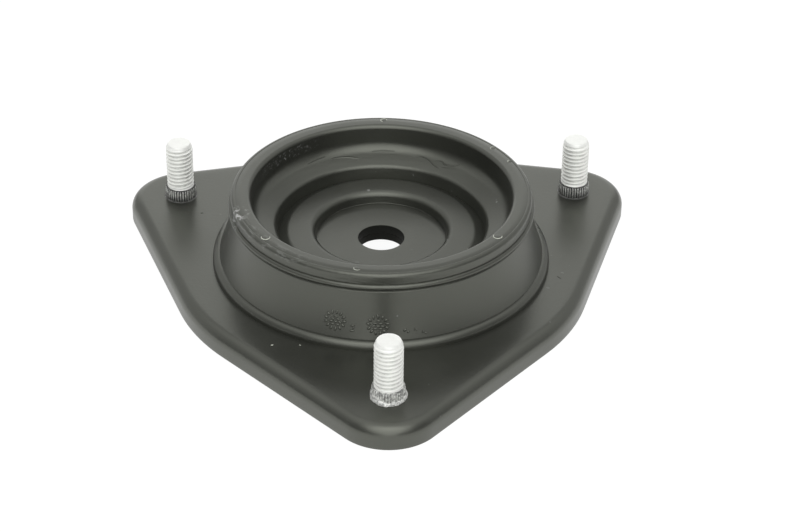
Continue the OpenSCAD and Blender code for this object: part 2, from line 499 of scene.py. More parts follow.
def pale_marks(n, where, streak, radius, around, z):
    """How pale the rubber is: a scuff and wear on the ring, crumbs in the bore, and specks."""
    scuff = n.ramp(n.noise(where, scale=620, detail=3, rough=0.6), 0.53, 0.6)
    at_scuff = n.fall(n.measure("DISTANCE", where, SCUFF_AT), *SCUFF_REACH)
    specks = n.ramp(n.noise(where, scale=520, detail=1, rough=0.4), 0.755, 0.79)
    patches = n.ramp(n.noise(where, scale=55, detail=2, rough=0.5), *PATCH_SPAN)
    crumbs = n.ramp(n.noise(where, scale=1700, detail=2, rough=0.5), 0.58, 0.64)
    crumb_height = n.times(n.ramp(z, *CRUMB_FROM_H), n.fall(z, *CRUMB_TO_H))
    crumb_side = n.near(around, CRUMB_ANGLE, *CRUMB_REACH)
    at_crumbs = n.times(crumb_side, crumb_height, n.fall(radius, *CRUMB_TO_R))
    wear = n.ramp(n.noise(streak, scale=1100, detail=4, rough=0.65), 0.5, 0.62)
    wear_top = n.times(n.ramp(radius, *WEAR_FROM_R), n.ramp(z, *WEAR_FROM_H))
    at_wear = n.times(n.near(around, WEAR_ANGLE, *WEAR_REACH), wear_top)
    pale = n.plus(n.times(scuff, at_scuff, SCUFF_SHARE), n.times(specks, patches, SPECK_SHARE))
    pale = n.plus(pale, n.times(wear, at_wear, WEAR_SHARE))
    return n.math("ADD", pale, n.times(crumbs, at_crumbs, CRUMB_SHARE), clamp=True)


def rubber_relief(n, where, streak, radius, around, z):
    """Height of the fine grain, the flow lines on the shelf's back and the tool lines on the lip."""
    grain = n.noise(where, scale=1300, detail=2, rough=0.5)
    flow = n.noise(streak, scale=420, detail=3, rough=0.55, distortion=0.3)
    tool = n.noise(streak, scale=1500, detail=2, rough=0.5)
    at_back = n.ramp(n.math("SINE", around), *FLOW_SINE)
    on_shelf = n.times(n.ramp(radius, *FLOW_FROM_R), n.fall(radius, *FLOW_TO_R), at_back)
    on_lip = n.times(n.ramp(radius, *TOOL_FROM_R), n.ramp(z, *TOOL_FROM_H))
    height = n.plus(n.times(grain, GRAIN_SHARE), n.times(flow, on_shelf, FLOW_SHARE))
    return n.plus(height, n.times(tool, on_lip, TOOL_SHARE))


def rubber_material(name, dark, light):
    """Moulded rubber: cloudy black with pale marks, fine grain and streaks."""
    mat, n, bsdf, where = material(name)
    radius, around, z = n.polar(where)
    bent = n.add("ShaderNodeCombineXYZ")
    for socket, value in zip(bent.inputs, (n.times(around, STREAK_ARC), radius, z)):
        n.put(socket, value)
    place = (where, bent.outputs[0], radius, around, z)
    cloud = n.noise(where, scale=45, detail=4, rough=0.6)
    tone = n.mix(n.ramp(cloud, *CLOUD_SPAN), grey(dark, TINT), grey(light, TINT))
    rough = n.ramp(cloud, *ROUGH_SPAN, *RUBBER_ROUGH)
    pale = pale_marks(n, *place)
    n.put(bsdf.inputs["Base Color"], n.mix(pale, tone, grey(PALE_TONE)))
    n.put(bsdf.inputs["Roughness"], n.math("ADD", rough, n.times(pale, PALE_ROUGH), clamp=True))
    n.put(bsdf.inputs["Normal"], n.bump(rubber_relief(n, *place), strength=0.14, distance=0.0004))
    black_shine(bsdf, SPEC)
    return mat


# Painted shade at the studs' foot near the plate: its tone, and the heights in metres between which it
# fades out
FOOT_SHADE_TONE = 0.03
FOOT_SHADE_FADE = (0.0002, 0.0024)


def zinc_material(name, tone_lo, tone_hi, rough_lo, rough_hi, metal, patch_scale=420, foot_shade=0.0):
    """Zinc plate: small patches of tone and roughness, a fine grain, and painted shade near the plate."""
    mat, n, bsdf, where = material(name)
    patch = n.noise(where, scale=patch_scale, detail=3, rough=0.6)
    fine = n.noise(where, scale=2600, detail=2, rough=0.5)
    tone = n.mix(n.ramp(patch, 0.35, 0.65), grey(tone_lo, ZINC_TINT), grey(tone_hi, ZINC_TINT))
    # Darker towards the plate: painted shade at the stud's foot
    low = n.ramp(n.polar(where)[2], *FOOT_SHADE_FADE, foot_shade, 0)
    n.put(bsdf.inputs["Base Color"], n.mix(low, tone, grey(FOOT_SHADE_TONE, TINT)))
    n.put(bsdf.inputs["Roughness"], n.ramp(patch, *ROUGH_SPAN, rough_lo, rough_hi))
    n.put(bsdf.inputs["Normal"], n.bump(n.plus(fine, patch), strength=0.12, distance=0.0001))
    bsdf.inputs["Metallic"].default_value = metal
    return mat


COAT = coat_material("black_dip_coat", 0.016, 0.021, 0.28, 0.34)
SEAT = coat_material("seat_coat", 0.015, 0.02, 0.3, 0.38)
# The rod hole's wall: a darker, duller coat, which is painted shade in the hole
HOLE_SHADE = coat_material("hole_wall_painted_shade", 0.006, 0.01, 0.6, 0.75, spec=0.15)
CHIP = coat_material("chipped_coat", 0.003, 0.006, 0.6, 0.8)
RUBBER = rubber_material("moulded_rubber", 0.013, 0.019)
FOLD = rubber_material("folded_rubber", 0.004, 0.008)
PALE = rubber_material("dusty_rubber", 0.3, 0.6)
ZINC = zinc_material("zinc_thread", 0.93, 0.97, 0.36, 0.46, metal=0.2)
# Darker zinc in the thread's roots, which is painted shade
ROOT_SHADE = zinc_material("zinc_root_painted_shade", 0.76, 0.88, 0.42, 0.52, metal=0.2)
# Knurl zinc, darker towards the plate as painted shade
KNURL = zinc_material("zinc_knurl", 0.4, 0.85, 0.4, 0.55, metal=0.35, patch_scale=1500, foot_shade=0.75)
# Darker zinc in the knurl's gaps, which is painted shade, and darker still towards the plate as painted
# shade
GAP_SHADE = zinc_material("zinc_gap_painted_shade", 0.04, 0.16, 0.5, 0.7, metal=0.2, patch_scale=1500, foot_shade=0.75)
BURR = zinc_material("zinc_burr", 0.4, 0.95, 0.45, 0.6, metal=0.2, patch_scale=1300)
# Darker zinc in the gaps of the front stud's knurl, which is painted shade
BURR_GAP_SHADE = zinc_material("zinc_burr_gap_painted_shade", 0.2, 0.65, 0.5, 0.7, metal=0.2, patch_scale=1300)

# Steps along the plate's outline and across it, and the heights between which its holes are cut
EAR_STEPS = 20
MID_STEPS = 12
SIDE_STEPS = 14
WEB_STEPS = 9
DRILL_SPAN = (-4, 2)


def outline(inset):
    """Outline of the plate, which is a round middle and three ears, drawn in by inset."""
    half = math.acos((PLATE_R - EAR_R) / EAR_REACH)
    third = 2 * math.pi / 3
    mid_turn = third - 2 * half
    pts = []
    for a in EARS:
        here, there = on_circle(0, 0, EAR_REACH, a), on_circle(0, 0, EAR_REACH, a + third)
        turns = [half * (k / EAR_STEPS - 1) for k in range(2 * EAR_STEPS + 1)]
        ear = [on_circle(*here, EAR_R - inset, a + turn) for turn in turns]
        turns = [mid_turn * k / MID_STEPS for k in range(MID_STEPS + 1)]
        mid = [on_circle(0, 0, PLATE_R - inset, a + half + turn) for turn in turns]
        next_ear = on_circle(*there, EAR_R - inset, a + third - half)
        pts += ear + between(ear[-1], mid[0], SIDE_STEPS)
        pts += mid + between(mid[-1], next_ear, SIDE_STEPS)
    return pts


def drill(ob):
    """Opens the stud holes in the plate."""
    verts, faces = [], []
    for a in EARS:
        centre = on_circle(0, 0, STUD_R, a)
        add_closed(verts, faces, [circle_row(*centre, PRESS_R, z, DRILL_SIDES) for z in DRILL_SPAN])
    mesh = bpy.data.meshes.new("drill")
    mesh.from_pydata([Vector(v) * MM for v in verts], [], faces)
    tool = bpy.data.objects.new("drill", mesh)
    scene.collection.objects.link(tool)
    cut = ob.modifiers.new("holes", "BOOLEAN")
    cut.operation, cut.solver, cut.object = "DIFFERENCE", "EXACT", tool
    opened = bpy.data.meshes.new_from_object(ob.evaluated_get(bpy.context.evaluated_depsgraph_get()))
    ob.modifiers.clear()
    ob.data = opened
    opened.set_sharp_from_angle(angle=math.radians(SHARP))
    bpy.data.objects.remove(tool)


def rim_levels():
    """The rim from the flat top, down its outside and up its inside, as pairs of inset and height."""
    flat, edge, bend = RIM_INSET, RIM_EDGE, RIM_BEND
    low, inner = RIM_BOTTOM + edge, PLATE_T - edge
    levels = [(flat * (1 - math.sin(a)), -flat + flat * math.cos(a)) for a in quarter(0, 16)]
    levels += [(0, -flat + (low + flat) * k / 3) for k in (1, 2, 3)]
    levels += [(edge - edge * math.cos(a), low - edge * math.sin(a)) for a in quarter(1, 4)]
    levels += [(inner + edge * math.sin(a), low - edge * math.cos(a)) for a in quarter(0, 4)]
    levels += [(PLATE_T, low + (-flat - low) * k / 2) for k in (1, 2)]
    levels += [(flat - bend * math.cos(a), -flat + bend * math.sin(a)) for a in quarter(1, 6)]
    return levels


def plate():
    edge = outline(RIM_INSET)
    angles = [math.atan2(y, x) for x, y in edge]
    inner = [on_circle(0, 0, COLLAR_ROOT_R, a) for a in angles]
    collar = rounded([(COLLAR_ROOT_R, 0, 0), (COLLAR_R, 0, COLLAR_BEND), (COLLAR_R, COLLAR_H, CUT_EDGE),
                      (COLLAR_IN_R, COLLAR_H, CUT_EDGE), (COLLAR_IN_R, -PLATE_T, COLLAR_BEND + PLATE_T),
                      (COLLAR_ROOT_R, -PLATE_T, 0)], PLATE_TURN)

    def web(k, z):
        t = k / WEB_STEPS
        return [((1 - t) * p[0] + t * q[0], (1 - t) * p[1] + t * q[1], z) for p, q in zip(inner, edge)]

    rows = [[(*on_circle(0, 0, r, a), z) for a in angles] for r, z in reversed(collar)]
    rows += [web(k, 0) for k in range(1, WEB_STEPS)]
    rows += [[(x, y, z) for x, y in outline(inset)] for inset, z in rim_levels()]
    rows += [web(k, -PLATE_T) for k in range(WEB_STEPS - 1, 0, -1)]
    faces = grid_faces(len(rows), len(angles), loop=True)
    ob = piece("plate", flatten(rows), faces, COAT, "coated_steel")
    drill(ob)
    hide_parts("mounting_plate")


# Corners of the bowl, from the valley up to the ring's top
BOWL = [(VALLEY_R, VALLEY_H, 0), (SHELF_IN_R, SHELF_IN_H, SHELF_ROUND), (SHELF_R, SHELF_H, COVE_ROUND),
        (BORE_R, RING_TOP, LIP_IN_ROUND)]
BEAD_STEPS = 24
WALL_STEPS = 40


def wall_r(z):
    """Outside radius of the flared wall at a height."""
    s = (WALL_TOP_H - z) / (WALL_TOP_H - FOOT_H)
    return RING_R + (FOOT_R - RING_R) * s - 4 * WALL_SAG * s * (1 - s)


def rubber_top():
    middle = [(BARE_R, SEAT_H, 0), (RIDGE_R, RIDGE_H, RIDGE_ROUND), (FLOOR_R, FLOOR_H, FLOOR_ROUND)]
    line = [(LINE_R - LINE_W, RING_TOP, 0), (LINE_R, RING_TOP - LINE_DEPTH, 0),
            (LINE_R + LINE_W, RING_TOP, 0)]
    return middle + BOWL + line + [(RING_R, RING_TOP, LIP_OUT_ROUND)]


def rubber_side():
    turns = [math.pi / 2 - math.pi * k / BEAD_STEPS for k in range(BEAD_STEPS + 1)]
    bead = [(*on_circle(RING_R, BEAD_H, BEAD_R, a), 0) for a in turns]
    groove = [(RING_R - BEAD_GROOVE, BEAD_H - BEAD_R - BEAD_GROOVE, 0)]
    levels = [WALL_TOP_H + (ROLL_H - WALL_TOP_H) * k / WALL_STEPS for k in range(WALL_STEPS)]
    wall = [(wall_r(z), z, 0) for z in levels]
    foot = [(wall_r(ROLL_H), ROLL_H, 0), (ROLL_R, ROLL_H, ROLL_ROUND), (ROLL_R, 0, 0)]
    return bead + groove + wall + foot


def rubber_under():
    """The side that is bonded to the collar, the groove, and the side that is bonded to the seat."""
    collar = [(COLLAR_R, 0, COLLAR_BEND), (COLLAR_R, COLLAR_H, CUT_EDGE), (COLLAR_IN_R, COLLAR_H, CUT_EDGE),
              (COLLAR_IN_R, -PLATE_T, COLLAR_BEND + PLATE_T),
              (COLLAR_R + COLLAR_BEND + COLLAR_FLAT, -PLATE_T, 0)]
    groove = [(GROOVE_OUT_R + GROOVE_LEAN, -PLATE_T - NUDGE, GROOVE_EDGE),
              (GROOVE_OUT_R, GROOVE_H, GROOVE_ROUND), (GROOVE_IN_R, GROOVE_H, GROOVE_ROUND),
              (GROOVE_IN_R - GROOVE_LEAN, -PLATE_T, GROOVE_EDGE)]
    seat = [(LOWER_R, -PLATE_T, 0), (LOWER_R, UPPER_UNDER, LOWER_BEND + LOWER_T),
            (LOWER_R - LOWER_BEND - LOWER_T - LOWER_FLAT, UPPER_UNDER, 0),
            (UPPER_R, UPPER_UNDER + NUDGE, CUT_EDGE), (UPPER_R, SEAT_H, CUT_EDGE)]
    return collar + groove + seat


def rubber():
    section = rounded(rubber_top() + rubber_side() + rubber_under())
    verts, faces = revolve(refine(section, RUBBER_STEP), RUBBER_SIDES)
    ob = piece("rubber", verts, faces, RUBBER, "rubber")
    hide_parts("rubber_body")


# Depth of the seat's steel that is painted as the hole's wall, whose darker, duller coat is painted shade
# in the hole
HOLE_SKIN = 0.12


def in_hole(x, y, z):
    return math.hypot(x, y) < HOLE_R + HOLE_SKIN


def seat_layer(name, corners):
    verts, faces = revolve(refine(rounded(corners, SEAT_TURN), SEAT_STEP), SEAT_SIDES)
    ob = piece(name, verts, faces, SEAT, "seat_steel")
    # Faces in the hole get the darker coat of painted shade
    repaint(ob, HOLE_SHADE, in_hole)
    return ob


def seats():
    inside = LOWER_R - LOWER_T
    ob = seat_layer("seat_upper", [
        (HOLE_R, UPPER_UNDER, PARTING_EDGE), (UPPER_R, UPPER_UNDER, CUT_EDGE),
        (UPPER_R, SEAT_H, CUT_EDGE), (HOLE_R, SEAT_H, HOLE_EDGE)])
    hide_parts("upper_seat_plate")
    ob = seat_layer("seat_lower", [
        (HOLE_R, LOWER_UNDER, HOLE_EDGE), (inside, LOWER_UNDER, LOWER_BEND), (inside, LIP_BOTTOM, CUT_EDGE),
        (LOWER_R, LIP_BOTTOM, CUT_EDGE), (LOWER_R, UPPER_UNDER, LOWER_BEND + LOWER_T),
        (HOLE_R, UPPER_UNDER, PARTING_EDGE)])
    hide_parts("lower_seat_cup")


# Thread: how it starts and ends, its rounded crest, and the tip's rings as radius and drop
THREAD_SUNK = 0.4
THREAD_ROWS = 18
TIP_DROP = 0.04
TAPER_CURVE = 1.4
START_AFTER = 0.1
START_LENGTH = 0.7
END_BEFORE = 0.5
END_LENGTH = 1.3
CREST_SHARE = 0.2
FLANK_SHARE = 0.6
ROOT_SHARE = 0.7
TIP_RINGS = ((THREAD_R - TAPER_W - 0.08, 0.0), (2.4, 0.02), (1.2, 0.08), (0.4, 0.09))
SHANK_SHARP = 50


def thread_r(z, turn):
    """Radius of the threaded shank at a height and a share of a full turn."""
    start, end = (z - NECK_H - START_AFTER) / START_LENGTH, (STUD_H - END_BEFORE - z) / END_LENGTH
    taper = TAPER_W * max(0, (z - (STUD_H - TAPER_H)) / TAPER_H) ** TAPER_CURVE
    tooth = abs(2 * ((z / PITCH - turn) % 1.0) - 1)
    dip = unit((tooth - CREST_SHARE) / FLANK_SHARE)
    return THREAD_R - taper - THREAD_DEPTH * dip * dip * (3 - 2 * dip) * (unit(start) * unit(end))


def stud_shank(index, cx, cy):
    """Rolled thread with rounded crests, run out at the neck and along the tapered end."""
    top = STUD_H - TIP_DROP
    count = int((top - NECK_H) / PITCH * THREAD_ROWS)
    rows = []
    for step in range(count + 1):
        z = NECK_H - THREAD_SUNK + (top - NECK_H + THREAD_SUNK) * step / count
        row = []
        for k in range(STUD_SIDES):
            r = thread_r(z, k / STUD_SIDES - THREAD_PHASE[index])
            row.append((*on_circle(cx, cy, r, 2 * math.pi * k / STUD_SIDES), z))
        rows.append(row)
    rows += [circle_row(cx, cy, r, STUD_H - drop, STUD_SIDES) for r, drop in TIP_RINGS]
    shank = piece(f"stud_shank_{index}", *closed(rows), ZINC, "zinc", SHANK_SHARP)
    # Faces deep in the thread's roots get the darker zinc of painted shade
    root_r = THREAD_R - ROOT_SHARE * THREAD_DEPTH
    repaint(shank, ROOT_SHADE, lambda x, y, z: z < STUD_H - TAPER_H and math.hypot(x - cx, y - cy) < root_r)
    return shank


# Head and pressed part: radius of the head's inmost ring, and the edges
HEAD_MID_R = 2.0
HEAD_ROUND = 0.6
HEAD_CUT = 0.18
HEAD_EDGE = 0.3
PRESS_EDGE = 0.05

# Straight knurl: count of teeth, one tooth's section as shares of its depth, and that depth
TEETH = 36
TOOTH = (0, 0, 0.4, 1, 1, 0.4)
TOOTH_H = 0.3
GAP_SHARE = 0.6
NECK_ROWS = 18
NECK_LIFT = 0.04
NECK_SKIN = 0.05
NECK_ROUND = 0.25
NECK_END_R = THREAD_R - 0.5
NECK_SHARP = 40
EASE_ROWS = 3

# Wear of the knurl: depth, change with height, and the sway and count of its waves about the stud
WORN_DEPTH = 0.08
WORN_RISE = 2.1
WORN_SWAY = 5
WORN_COUNT = 9

# Heights below which the head and the pressed part are painted, and above which the knurl's gaps get
# painted shade
PRESS_BELOW = -0.04
GAP_ABOVE = 0.02


def stud_head():
    """The head from below, and the pressed part up to the plate's top, as pairs of radius and height."""
    under = -PLATE_T
    low = under - HEAD_T
    head = [(HEAD_MID_R, low), (HEAD_R - HEAD_ROUND, low), (HEAD_R - HEAD_CUT, low + HEAD_CUT),
            (HEAD_R, low + HEAD_ROUND), (HEAD_R, under - HEAD_EDGE), (HEAD_R - HEAD_EDGE, under)]
    return head + [(PRESS_R, under), (PRESS_R, -PRESS_EDGE), (PRESS_R - PRESS_EDGE, 0), (NECK_R, 0)]


def knurl_row(index, cx, cy, k):
    """One ring of the knurl, which eases off at both ends and is a little worn."""
    n = TEETH * len(TOOTH)
    z = NECK_LIFT + (NECK_H - 2 * NECK_LIFT) * k / NECK_ROWS
    ease = min(1, k, (NECK_ROWS - k) / EASE_ROWS)
    row = []
    for q in range(n):
        t = 2 * math.pi * q / n
        worn = WORN_DEPTH * max(0, math.sin(WORN_RISE * z + WORN_SWAY * math.sin(WORN_COUNT * t + index)))
        depth = ease * (TOOTH_H * TOOTH[q % len(TOOTH)] + worn)
        row.append((*on_circle(cx, cy, NECK_R - NECK_SKIN - depth - NECK_ROUND * (1 - ease), t), z))
    return row


def stud_neck(index, cx, cy):
    """Head, pressed part, and neck with its straight knurl."""
    n = TEETH * len(TOOTH)
    rows = [circle_row(cx, cy, r, z, n) for r, z in stud_head()]
    rows += [knurl_row(index, cx, cy, k) for k in range(NECK_ROWS + 1)]
    rows.append(circle_row(cx, cy, NECK_END_R, NECK_H, n))
    tooth, gap = (BURR, BURR_GAP_SHADE) if index == 0 else (KNURL, GAP_SHADE)
    neck = piece(f"stud_neck_{index}", *closed(rows), tooth, "zinc", NECK_SHARP)
    # The knurl's gaps get darker zinc: painted shade
    gap_r = NECK_R - NECK_SKIN - GAP_SHARE * TOOTH_H
    repaint(neck, ZINC, lambda x, y, z: z < PRESS_BELOW)
    repaint(neck, gap, lambda x, y, z: z > GAP_ABOVE and math.hypot(x - cx, y - cy) < gap_r)
    return neck


def stud(index, angle):
    centre = on_circle(0, 0, STUD_R, angle)
    return stud_shank(index, *centre), stud_neck(index, *centre)


# Burr: its section as radius, height and how far it is ragged, and the waves of its edge and height
BURR_SECTION = ((4.3, 0.02, 0), (5.0, 0.02, 1), (5.05, 0.2, 1), (4.92, 0.6, 0.8), (4.7, 1.0, 0.3),
                (4.58, 1.15, 0.2), (4.3, 1.1, 0))
RAG_WAVES = ((0.12, 3, 0.6), (0.09, 7, 2), (0.06, 17, 0), (0.04, 29, 1))
TALL_WAVES = ((0.35, 2, 0.4), (0.25, 5, 1), (0.15, 13, 0))
TALL_ABOVE = 0.3


def burr(angle):
    """Ragged rim of metal raised round the front stud's foot when it was pressed in."""
    cx, cy = on_circle(0, 0, STUD_R, angle)
    rows = []
    for k in range(BURR_SIDES):
        t = 2 * math.pi * k / BURR_SIDES
        rag, tall = waves(t, RAG_WAVES, 0), waves(t, TALL_WAVES, 1)
        rows.append([(*on_circle(cx, cy, r + rag * w, t), z * (tall if z > TALL_ABOVE else 1))
                     for r, z, w in BURR_SECTION])
    faces = ring_faces(BURR_SIDES, len(BURR_SECTION))
    piece("stud_burr", flatten(rows), faces, BURR, "zinc", NECK_SHARP)


# Small marks are low domes, whose lowest ring is sunk by a share of their height
DOME_SIDES = 14
DOME_RINGS = 5
DOME_SUNK = 0.25
DOME_FLAT = 0.97
DOME_SHARP = 60
UP = (0, 0, 1)


class Domes:
    """Low domes set on a surface, given by its origin, two directions in it and its normal."""

    def __init__(self, origin, u, v, normal):
        self.o, self.u, self.v, self.w = (Vector(x) for x in (origin, u, v, normal))
        self.verts, self.faces = [], []

    def ring(self, x, y, turn, half_length, half_width, rise):
        c, s = math.cos(turn), math.sin(turn)
        row = []
        for k in range(DOME_SIDES):
            t = 2 * math.pi * k / DOME_SIDES
            p, q = half_length * math.cos(t), half_width * math.sin(t)
            across, along = x + c * p - s * q, y + s * p + c * q
            row.append(tuple(self.o + self.u * across + self.v * along + self.w * rise))
        return row

    def add(self, x, y, turn, length, width, height):
        rows = [self.ring(x, y, turn, length / 2, width / 2, -height * DOME_SUNK)]
        for a in quarter(1, DOME_RINGS):
            flat = math.cos(a * DOME_FLAT)
            rows.append(self.ring(x, y, turn, length / 2 * flat, width / 2 * flat, height * math.sin(a)))
        add_closed(self.verts, self.faces, rows)

    def make(self, name, mat, slot):
        piece(name, self.verts, self.faces, mat, slot, DOME_SHARP)


def flat_domes(x, y, z):
    return Domes((x, y, z), (1, 0, 0), (0, 1, 0), UP)


def on_wall(theta, z):
    """Domes on the outside wall, at an angle in degrees and a height."""
    t = math.radians(theta)
    lean = wall_r(z + 0.5) - wall_r(z - 0.5)
    u = Vector((-math.sin(t), math.cos(t), 0))
    v = Vector((lean * math.cos(t), lean * math.sin(t), 1)).normalized()
    return Domes((*on_circle(0, 0, wall_r(z), t), z), u, v, u.cross(v))


# Rosettes on the wall, by angle and height, with sizes as length, width and height
ROSETTES = ((-107.88, 6.89), (-92.73, 6.61))
PETALS = 13
PETAL_SHIFT = 0.3
PETAL_REACH = (2.6, 2.4)
PETAL_TILT = 0.25
PETAL_SIZE = (1.25, 0.8, 0.26)
DASH_TILT = 0.15
DASH_SIZE = (1.35, 0.62, 0.24)

# Rows of a rosette's inner dashes, as height and places along the row
DASH_ROWS = ((1.15, (0.1,)), (0.4, (-0.75, 0.75)), (-0.35, (-1.2, 0.1, 1.3)), (-1.1, (-0.75, 0.75)))

# Bump between the rosettes, with three strokes as place, turn, length and width
STROKES_AT = (-101.68, 5.38)
STROKES = ((0.1, 0.75, 0.3, 1.4, 0.6), (0.35, 0.1, 1.1, 1.1, 0.55), (0, -0.75, 0.1, 1.5, 0.6))

# Other bumps, as angle, height and size, each with a smaller dome beside it
BUMPS = ((-83.4, 5.05, 1.2), (-80.0, 5.05, 0.8), (-77.2, 4.24, 1.1))
BUMP_HEIGHT = 0.24
BUMP_TURN = 0.5
BUMP_WIDTH = 0.6
SIDE_AT = (0.7, -0.5)
SIDE_TURN = 0.2
SIDE_SIZE = (0.7, 0.5)
SIDE_HEIGHT = 0.2


def rosette(i, theta, z):
    d = on_wall(theta, z)
    for k in range(PETALS):
        a = 2 * math.pi * (k + PETAL_SHIFT * i) / PETALS
        x, y = PETAL_REACH[0] * math.cos(a), PETAL_REACH[1] * math.sin(a)
        d.add(x, y, a + PETAL_TILT * math.sin(3 * k), *PETAL_SIZE)
    for row, (y, places) in enumerate(DASH_ROWS):
        for x in places:
            d.add(x, y, DASH_TILT * math.sin(5 * row + x), *DASH_SIZE)
    d.make(f"mould_rosette_{i}", RUBBER, "rubber")


def wall_marks():
    """Two rosettes and a few bumps on the front of the wall."""
    for i, place in enumerate(ROSETTES):
        rosette(i, *place)
    d = on_wall(*STROKES_AT)
    for stroke in STROKES:
        d.add(*stroke, BUMP_HEIGHT)
    d.make("mould_bump_0", RUBBER, "rubber")
    for i, (theta, z, size) in enumerate(BUMPS, 1):
        d = on_wall(theta, z)
        d.add(0, 0, BUMP_TURN * i, size, size * BUMP_WIDTH, BUMP_HEIGHT)
        (x, y), (length, width) = ([size * part for part in pair] for pair in (SIDE_AT, SIDE_SIZE))
        d.add(x, y, SIDE_TURN, length, width, SIDE_HEIGHT)
        d.make(f"mould_bump_{i}", RUBBER, "rubber")


# Strips: mesh, and their size and their start on the sine that shapes them, at both ends
STRIP_SIDES = 10
STRIP_SHARP = 70
STRIP_END = 0.15
STRIP_START = 0.02


def arc_tube(name, points, width, height, mat, slot, normals):
    """A low rounded strip along points, thinning out at both ends."""
    turns = [2 * math.pi * k / STRIP_SIDES for k in range(STRIP_SIDES)]
    last = len(points) - 1
    rows = []
    for i, p in enumerate(points):
        p, up = Vector(p), Vector(normals[i])
        along = (Vector(points[min(i + 1, last)]) - Vector(points[max(i - 1, 0)])).normalized()
        side = along.cross(up).normalized()
        swell = math.sin(math.pi * unit(STRIP_START + (1 - 2 * STRIP_START) * i / last)) ** 0.5
        size = STRIP_END + (1 - STRIP_END) * swell
        rows.append([tuple(p + side * (width / 2 * size * math.cos(t)) + up * (height * size * math.sin(t)))
                     for t in turns])
    piece(name, *closed(rows), mat, slot, STRIP_SHARP)


# Ejector marks, as radius, angle, first degree and span of the pale arc, and size
EJECTOR_MARKS = ((40.0, -144.4, 160, 215, 1.2), (39.9, -101.1, 150, 170, 0.95),
                 (39.4, -37.4, 140, 230, 1.2), (40.9, 23.0, 100, 120, 0.7),
                 (40.7, 35.2, 60, 160, 0.8), (40.4, 87.4, 0, 250, 0.9))
MARK_STEPS = 30
MARK_W = 0.34
MARK_H = 0.11
DISC_SHARE = 1.4
DISC_H = 0.06


def ring_marks():
    """Ejector marks on the ring's top: a pale arc round a low dark disc."""
    for i, (r, theta, first, span, size) in enumerate(EJECTOR_MARKS):
        cx, cy = on_circle(0, 0, r, math.radians(theta))
        turns = [math.radians(first + span * k / MARK_STEPS) for k in range(MARK_STEPS + 1)]
        pts = [(*on_circle(cx, cy, size, t), RING_TOP) for t in turns]
        arc_tube(f"ejector_mark_{i}", pts, MARK_W, MARK_H, PALE, "rubber", [UP] * len(pts))
        d = flat_domes(cx, cy, RING_TOP)
        d.add(0, 0, 0, DISC_SHARE * size, DISC_SHARE * size, DISC_H)
        d.make(f"ejector_disc_{i}", FOLD, "rubber")


# Flash on the seat: first degree and span, waves of its edge, and its place and size
FLASH_FIRST = 14
FLASH_SPAN = 152
FLASH_STEPS = 96
FLASH_WAVES = ((0.05, 9, 0), (0.03, 23, 0))
FLASH_R = BARE_R - 0.12
FLASH_Z = SEAT_H + 0.1
FLASH_W = 0.26
FLASH_H = 0.2


def seat_flash():
    """Thin edge that the rubber leaves on the seat, along the back."""
    turns = [math.radians(FLASH_FIRST + FLASH_SPAN * k / FLASH_STEPS) for k in range(FLASH_STEPS + 1)]
    pts = [(*on_circle(0, 0, waves(t, FLASH_WAVES, FLASH_R), t), FLASH_Z) for t in turns]
    arc_tube("seat_flash", pts, FLASH_W, FLASH_H, RUBBER, "rubber", [UP] * len(pts))


def shelf_point(r, theta):
    """A point on the bowl's surface and the normal there."""
    t = math.radians(theta)
    line = rounded(BOWL)
    low, high = [(a, b) for a, b in zip(line, line[1:]) if a[0] <= r < b[0]][0]
    fall = (high[1] - low[1]) / (high[0] - low[0])
    up = Vector((-fall * math.cos(t), -fall * math.sin(t), 1)).normalized()
    return (*on_circle(0, 0, r, t), low[1] + (r - low[0]) * fall), tuple(up)


def curve(a, b, c, d, t):
    """One coordinate between b and c on a smooth curve through a, b, c and d."""
    square, cube = 2 * a - 5 * b + 4 * c - d, 3 * b - a - 3 * c + d
    return 0.5 * (2 * b + (c - a) * t + square * t * t + cube * t ** 3)


def smooth_path(knots, per):
    """Points along a curve through the knots."""
    out = []
    for i in range(len(knots) - 1):
        four = knots[max(0, i - 1)], knots[i], knots[i + 1], knots[min(len(knots) - 1, i + 2)]
        for k in range(per):
            out.append(tuple(curve(*values, k / per) for values in zip(*four)))
    return out + [tuple(knots[-1])]


# Folds, as the points that each runs through (radius, angle), its width and its height
FOLDS = (([(35.3, 126.4), (35.6, 121), (35.7, 116)], 0.35, 0.1),
         ([(34.6, 114), (34.6, 110), (34.2, 105), (33.2, 99.6)], 0.75, 0.16),
         ([(35.4, 93), (35.6, 87.6), (35.5, 81.7)], 0.4, 0.14),
         ([(34.1, 73.6), (35.0, 69.4), (34.6, 65), (33.1, 60.5), (32.5, 57)], 0.45, 0.15),
         ([(34.4, 62), (35.0, 58), (34.3, 55), (34.9, 51), (35.9, 48)], 0.5, 0.13),
         ([(33.1, 56), (33.6, 52.5), (34.4, 48.5)], 0.4, 0.1))
FOLD_STEPS = 10


def flow_marks():
    """Folds left in the rubber on the back of the shelf."""
    for i, (knots, width, height) in enumerate(FOLDS):
        points, normals = zip(*[shelf_point(r, t) for r, t in smooth_path(knots, FOLD_STEPS)])
        arc_tube(f"flow_fold_{i}", points, width, height, FOLD, "rubber", normals)


# Marks on the plate, as place, turn, length, width and material
PLATE_MARKS = ((50.3, -12.75, 2.16, 2.0, 0.42, CHIP), (-52.3, 23.5, 0.3, 0.9, 0.6, CHIP),
               (-30.9, -44.3, 0.5, 0.8, 0.5, PALE), (-23.3, -44.5, 2.1, 0.7, 0.35, PALE))
PLATE_MARK_H = 0.06


def plate_marks():
    """Chips and pale crumbs on the plate's coat."""
    for i, (x, y, turn, length, width, mat) in enumerate(PLATE_MARKS):
        d = flat_domes(x, y, 0)
        d.add(0, 0, turn, length, width, PLATE_MARK_H)
        d.make(f"plate_mark_{i}", mat, "coated_steel")


